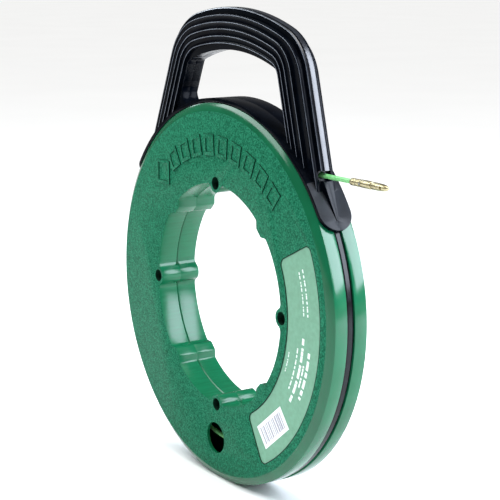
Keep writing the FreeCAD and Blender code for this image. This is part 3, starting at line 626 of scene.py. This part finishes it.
def makeRelief():
    plan = reliefPlan
    first = makeFrame("frame_block", plan["frameSize"], plan["frameWall"], plan["radius"])
    blocks = []
    for step, angle in enumerate(plan["angles"]):
        turn = Matrix.Rotation(math.radians(90 - angle), 4, "Y")
        blocks.append(copyPiece(first, f"frame_{step}", turn))
    bpy.data.objects.remove(first)
    square = makeFrame("square_block", plan["squareSize"], plan["squareWall"], plan["squareRadius"])
    square.data.transform(Matrix.Translation((0, 0, -plan["squareRadius"] * mm)))
    angle = math.radians(plan["squareAngle"])
    square.data.transform(Matrix.Translation((plan["squareRadius"] * mm * math.cos(angle), 0,
                                              plan["squareRadius"] * mm * math.sin(angle))))
    relief = joinPieces(blocks + [square], "face_relief")
    smoothOver(relief, reliefPlan["smooth"])
    dressPiece(relief, "caseGrain", "reel", "case_green")
    # the frames' sides get painted shade
    relief.data.materials.append(materials["casePaintedShade"])
    for face in relief.data.polygons:
        if abs(face.normal.y) < 0.8:
            face.material_index = 1
    print("relief ready: face_relief")


makeRelief()


# the wound tape: layers of turns between the hub wall and the case wall, clear of the leader's lane
coilPlan = {"tapeRadius": 1.95, "pitch": 4.08, "ringPoints": 8, "steps": 72, "smooth": 50,
            # radius, first turn's depth and number of turns
            "layers": [(113.2, -14.3, 7), (117.2, -14.3, 7), (121.2, 5.7, 2), (125.2, 5.8, 2),
                       (129.2, 6.0, 2), (133.0, 6.0, 2)]}


def makeCoilLayer(radius, start, turns):
    plan = coilPlan
    bpy.ops.object.select_all(action="DESELECT")
    bpy.ops.mesh.primitive_circle_add(vertices=plan["ringPoints"], radius=plan["tapeRadius"] * mm,
                                      location=(radius * mm, start * mm, 0))
    layer = bpy.context.object
    fixPlace(layer)
    applyModifier(layer, "SCREW", {"axis": "Y", "screw_offset": plan["pitch"] * mm, "iterations": turns,
                                   "steps": plan["steps"], "render_steps": plan["steps"]})
    return layer


def makeCoil():
    layers = [makeCoilLayer(*layer) for layer in coilPlan["layers"]]
    coil = joinPieces(layers, "tape_turns")
    openEdit(coil, "EDGE")
    bpy.ops.mesh.select_all(action="DESELECT")
    bpy.ops.mesh.select_non_manifold(extend=False)
    bpy.ops.mesh.edge_face_add()
    closeEdit()
    turnOutwards(coil)
    smoothOver(coil, coilPlan["smooth"])
    dressPiece(coil, "tape", "reel", "tape_glass_fibre", "tape_coil")
    metres = sum(2 * math.pi * radius * turns for radius, start, turns in coilPlan["layers"]) * mm
    print("coil ready:", round(metres, 1), "m wound")


makeCoil()


# one loose turn springs out against the case wall, and shows in the window
looseTurn = {"tapeRadius": 1.95, "smooth": 50, "route": [  # angle in degrees, radius and depth
    (140, 138.6, 9.0), (95, 141.0, 6.0), (60, 142.5, 2.0), (25, 143.0, -2.0), (-10, 143.0, -5.0),
    (-45, 142.5, -7.0), (-70, 142.0, -8.0), (-98, 141.6, -8.0), (-126, 141.6, -7.0),
    (-155, 141.0, -4.0), (-185, 139.5, 0.0), (-220, 138.0, 5.0)]}


def makeLooseTurn():
    data = bpy.data.curves.new("tape_loose_turn", "CURVE")
    data.dimensions = "3D"
    line = data.splines.new("NURBS")
    line.points.add(len(looseTurn["route"]) - 1)
    for point, (angle, radius, depth) in zip(line.points, looseTurn["route"]):
        a = math.radians(angle)
        point.co = (radius * mm * math.cos(a), depth * mm, radius * mm * math.sin(a), 1)
    line.order_u = 4
    line.use_endpoint_u = True
    line.resolution_u = 12
    data.bevel_depth = looseTurn["tapeRadius"] * mm
    data.bevel_resolution = 3
    data.use_fill_caps = True
    turn = bpy.data.objects.new("tape_loose_turn", data)
    bpy.context.collection.objects.link(turn)
    pickOnly(turn)
    bpy.ops.object.convert(target="MESH")
    turn = bpy.context.object
    turnOutwards(turn)
    smoothOver(turn, looseTurn["smooth"])
    dressPiece(turn, "tape", "reel", "tape_glass_fibre")
    print("loose turn ready")


makeLooseTurn()

# height of the straight stretch of tape, which the leader, ferrule and nose share
tapeLevel = (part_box("tape_leader")[0][2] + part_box("tape_leader")[1][2]) / 2
# stations along the axis: distance from the reel's middle and radius, in mm
barPlans = [
    {"name": "tape_leader_rod", "finish": "tape", "slot": "tape_glass_fibre", "node": "tape_leader",
     "points": 20, "edge": 0.25, "smooth": 40,
     "stations": [(0.3, 1.7), (0.8, 2.0), (60, 2.0), (120, 2.0), (150, 1.97), (168, 2.0), (189.6, 2.0)]},
    {"name": "tip_ferrule_crimped", "finish": "tip", "slot": "tip_brass", "node": "tip_ferrule",
     "points": 28, "edge": 0.18, "smooth": 34,
     "stations": [(169.5, 2.35), (169.8, 2.75), (170.6, 3.05), (174.6, 3.1), (175.0, 2.72), (176.4, 2.72),
                  (176.8, 3.12), (180.2, 3.12), (180.5, 2.8), (181.6, 2.8), (181.9, 3.2), (187.4, 3.3),
                  (194.9, 3.3), (195.8, 3.05)]},
]


def turnBar(plan):
    first = plan["stations"][0]
    bpy.ops.object.select_all(action="DESELECT")
    bpy.ops.mesh.primitive_circle_add(vertices=plan["points"], radius=first[1] * mm, fill_type="NGON",
                                      location=(first[0] * mm, 0, tapeLevel), rotation=(0, math.pi / 2, 0))
    bar = bpy.context.object
    bar.name = plan["name"]
    fixPlace(bar)
    openEdit(bar)
    bpy.ops.mesh.select_all(action="SELECT")
    lastX, lastR = first
    for x, r in plan["stations"][1:]:
        bpy.ops.mesh.extrude_region_move(TRANSFORM_OT_translate={"value": ((x - lastX) * mm, 0, 0)})
        bpy.ops.transform.resize(value=(1, r / lastR, r / lastR), center_override=(x * mm, 0, tapeLevel))
        lastX, lastR = x, r
    closeEdit()
    turnOutwards(bar)
    applyModifier(bar, "BEVEL", {"width": plan["edge"] * mm, "segments": 2, "limit_method": "ANGLE",
                                 "angle_limit": math.radians(35)})
    return bar


for plan in barPlans:
    bar = turnBar(plan)
    smoothOver(bar, plan["smooth"])
    dressPiece(bar, plan["finish"], "tape_end", plan["slot"], plan["node"])
print("leader and ferrule ready")

nosePlan = {"name": "tip_nose_eye", "points": 28, "edge": 0.12, "smooth": 32,
            "stations": [(195.9, 2.6), (196.6, 2.6), (197.0, 3.15), (203.5, 3.1), (208.5, 2.9), (211.8, 2.5),
                         (214.0, 1.8), (215.1, 1.0), (215.5, 0.4)],
            "eyeAt": 208.5, "eyeRadius": 1.3}


def makeNose():
    nose = turnBar(nosePlan)
    bpy.ops.object.select_all(action="DESELECT")
    bpy.ops.mesh.primitive_cylinder_add(vertices=24, radius=nosePlan["eyeRadius"] * mm, depth=12 * mm,
                                        location=(nosePlan["eyeAt"] * mm, 0, tapeLevel),
                                        rotation=(math.pi / 2, 0, 0))
    drill = bpy.context.object
    fixPlace(drill)
    applyModifier(nose, "BOOLEAN", {"operation": "DIFFERENCE", "object": drill, "solver": "EXACT"})
    bpy.data.objects.remove(drill)
    smoothOver(nose, nosePlan["smooth"])
    dressPiece(nose, "tip", "tape_end", "tip_brass", "tip_nose")


makeNose()
print("nose ready")


# the narrow gap between the label and its recess, filled with a near-black sheet as painted shade
borderPlan = {"width": 0.75, "top": -20.03, "split": -19.4}


def makeLabelBorder():
    border = bpy.data.objects.new("label_gap_shade", nodes["label_plate"].data.copy())
    bpy.context.collection.objects.link(border)
    openEdit(border)
    bpy.ops.mesh.select_all(action="SELECT")
    bpy.ops.mesh.customdata_custom_splitnormals_clear()
    bpy.ops.mesh.remove_doubles(threshold=weldGap["cad"])
    bpy.ops.mesh.normals_make_consistent(inside=False)
    selectFaces(border, lambda middle, normal: abs(normal.y) > 0.5)
    bpy.ops.mesh.delete(type="FACE")
    closeEdit()
    for corner in border.data.vertices:
        if corner.co.y < borderPlan["split"] * mm:
            corner.co.y = borderPlan["top"] * mm
    applyModifier(border, "SOLIDIFY", {"thickness": borderPlan["width"] * mm, "offset": 1.0,
                                       "use_even_offset": True})
    turnOutwards(border)
    # near-black material: painted shade in the gap
    dressPiece(border, "casePaintedShade", "reel", "case_green")
    print("label border ready")


makeLabelBorder()

# print on the label: rows of plain dashes in place of wording
printPlan = {"level": -19.56, "thick": 0.05, "rows": [
    # radius, first angle, last angle, dash height, dash length, gap
    (133.8, 18.8, 2.8, 1.3, 2.2, 1.2), (139.4, 19.2, 2.6, 1.5, 2.4, 1.2),
    (133.6, -5.8, -32.0, 3.0, 4.0, 1.2), (142.9, -9.6, -27.5, 3.2, 4.6, 1.3),
    (137.9, -14.6, -23.8, 1.9, 2.8, 1.1), (127.0, -9.6, -27.8, 1.5, 2.4, 1.1),
    (116.2, -13.6, -23.0, 1.1, 1.9, 1.0)]}


def makeDash(height, length):
    plan = printPlan
    bpy.ops.object.select_all(action="DESELECT")
    bpy.ops.mesh.primitive_plane_add(size=1, location=(0, plan["level"] * mm, 0),
                                     rotation=(math.pi / 2, 0, 0))
    dash = bpy.context.object
    dash.scale = (height * mm, length * mm, 1)
    fixPlace(dash)
    openEdit(dash)
    bpy.ops.mesh.select_all(action="SELECT")
    bpy.ops.mesh.bevel(offset=0.35 * mm, segments=2, affect="VERTICES")
    bpy.ops.mesh.select_all(action="SELECT")
    bpy.ops.mesh.extrude_region_move(TRANSFORM_OT_translate={"value": (0, -plan["thick"] * mm, 0)})
    bpy.ops.mesh.select_all(action="SELECT")
    bpy.ops.mesh.normals_make_consistent(inside=False)
    closeEdit()
    return dash


def makePrint():
    dashes = []
    for row, (radius, firstAngle, lastAngle, height, length, gap) in enumerate(printPlan["rows"]):
        angle = firstAngle
        count = 0
        while angle > lastAngle:
            wide = length * (1.0 + 0.45 * math.sin(2.1 * count + row))  # words differ in length
            dash = makeDash(height, wide)
            dash.data.transform(Matrix.Translation((radius * mm, 0, 0)))
            dash.data.transform(Matrix.Rotation(math.radians(-angle), 4, "Y"))
            dashes.append(dash)
            angle -= math.degrees((wide + gap) / radius)
            count += 1
    printed = joinPieces(dashes, "label_print")
    dressPiece(printed, "whiteInk", "reel", "label_green")
    print("label print ready:", len(dashes), "dashes")


makePrint()

barcodePlan = {"level": -19.76, "thick": 0.04, "centre": (89.7, -99.5), "turn": 38.8, "length": 15.0,
               # place along the sticker, and width
               "bars": [(-17.5, 1.6), (-14.6, 0.8), (-12.2, 1.9), (-9.0, 0.9), (-6.6, 1.2), (-3.4, 2.0),
                        (-0.4, 0.9), (2.4, 1.1), (5.0, 1.7), (8.6, 2.3), (11.6, 1.6), (14.2, 2.2),
                        (17.2, 1.3)]}


def makeBarcode():
    plan = barcodePlan
    bars = []
    for offset, wide in plan["bars"]:
        bpy.ops.object.select_all(action="DESELECT")
        bpy.ops.mesh.primitive_plane_add(size=1, location=(offset * mm, plan["level"] * mm, 0),
                                         rotation=(math.pi / 2, 0, 0))
        bar = bpy.context.object
        bar.scale = (wide * mm, plan["length"] * mm, 1)
        fixPlace(bar)
        openEdit(bar)
        bpy.ops.mesh.select_all(action="SELECT")
        bpy.ops.mesh.extrude_region_move(TRANSFORM_OT_translate={"value": (0, -plan["thick"] * mm, 0)})
        bpy.ops.mesh.select_all(action="SELECT")
        bpy.ops.mesh.normals_make_consistent(inside=False)
        closeEdit()
        bars.append(bar)
    code = joinPieces(bars, "sticker_bars")
    code.data.transform(Matrix.Rotation(math.radians(-plan["turn"]), 4, "Y"))
    code.data.transform(Matrix.Translation((plan["centre"][0] * mm, 0, plan["centre"][1] * mm)))
    dressPiece(code, "greyInk", "reel", "sticker_white")


makeBarcode()
print("sticker bars ready")

stagePlan = {"level": -172.4 * mm, "size": 30.0}
cameraPlan = {"azimuth": 56.76, "elevation": 13.13, "distance": 1.3029,
              "aim": (0.96 * mm, 16.28 * mm, 37.68 * mm), "lens": 103.7}
airPlan = {"seen": 1.0, "lit": 0.16, "colour": "#ffffff"}
lampPlans = [  # place, width and height in metres
    {"name": "sideBox", "place": (0.995, 0.758, 0.752), "size": (0.85, 1.3), "radiance": 14.0,
     "colour": "#e8f0ff"},
    {"name": "ridgeBox", "place": (-1.30, 0.20, 0.82), "size": (0.7, 0.5), "radiance": 7.0,
     "colour": "#eaf4ff"},
    {"name": "keyBox", "place": (-1.00, -1.00, 1.25), "size": (1.5, 0.7), "radiance": 6.5,
     "colour": "#f4fbff"},
]
skyLamp = {"place": (0, 0, 3), "tilt": (0.15, 0.1, 0), "strength": 2.8, "spread": 50}


def makeStage():
    bpy.ops.object.select_all(action="DESELECT")
    bpy.ops.mesh.primitive_plane_add(size=stagePlan["size"], location=(0, 0, stagePlan["level"]))
    floor = bpy.context.object
    floor.name = "floor"
    material, tree, shader, place = newMaterial("paintedFloorWhite", {"Roughness": 0.8})
    patches = addNode(tree, "ShaderNodeTexNoise", {"Scale": 2.5}, {"Vector": place}).outputs["Fac"]
    finishSurface(tree, shader, patches, ("#f4f4f3", "#f9f9f8"), (0, 1))
    floor.data.materials.append(material)
    world = bpy.data.worlds.new("studioAir")
    world.use_nodes = True
    tree = world.node_tree
    back = tree.nodes["Background"]
    back.inputs["Color"].default_value = hexColour(airPlan["colour"])
    ray = addNode(tree, "ShaderNodeLightPath").outputs["Is Camera Ray"]
    strength = addNode(tree, "ShaderNodeMapRange", {"To Min": airPlan["lit"], "To Max": airPlan["seen"]},
                       {"Value": ray})
    tree.links.new(strength.outputs[0], back.inputs["Strength"])
    bpy.context.scene.world = world
    for plan in lampPlans:
        bpy.ops.object.light_add(type="AREA", location=plan["place"])
        lamp = bpy.context.object
        lamp.name = plan["name"]
        lamp.data.shape = "RECTANGLE"
        lamp.data.color = hexColour(plan["colour"])[:3]
        lamp.data.size, lamp.data.size_y = plan["size"]
        lamp.data.energy = plan["radiance"] * math.pi * plan["size"][0] * plan["size"][1]
        lamp.rotation_euler = (-Vector(plan["place"])).to_track_quat("-Z", "Y").to_euler()
    bpy.ops.object.light_add(type="SUN", location=skyLamp["place"], rotation=skyLamp["tilt"])
    sky = bpy.context.object
    sky.name = "ceilingBox"
    sky.data.energy = skyLamp["strength"]
    sky.data.angle = math.radians(skyLamp["spread"])


def makeCamera():
    azimuth = math.radians(cameraPlan["azimuth"])
    elevation = math.radians(cameraPlan["elevation"])
    away = Vector((math.sin(azimuth) * math.cos(elevation), -math.cos(azimuth) * math.cos(elevation),
                   math.sin(elevation)))
    data = bpy.data.cameras.new("camera")
    data.lens = cameraPlan["lens"]
    camera = bpy.data.objects.new("camera", data)
    bpy.context.collection.objects.link(camera)
    camera.location = away * cameraPlan["distance"]
    look = Vector(cameraPlan["aim"]) - camera.location
    camera.rotation_euler = look.to_track_quat("-Z", "Y").to_euler()
    bpy.context.scene.camera = camera


makeStage()
makeCamera()
bpy.context.scene.view_settings.view_transform = "Standard"
print("stage, lamps and camera ready")
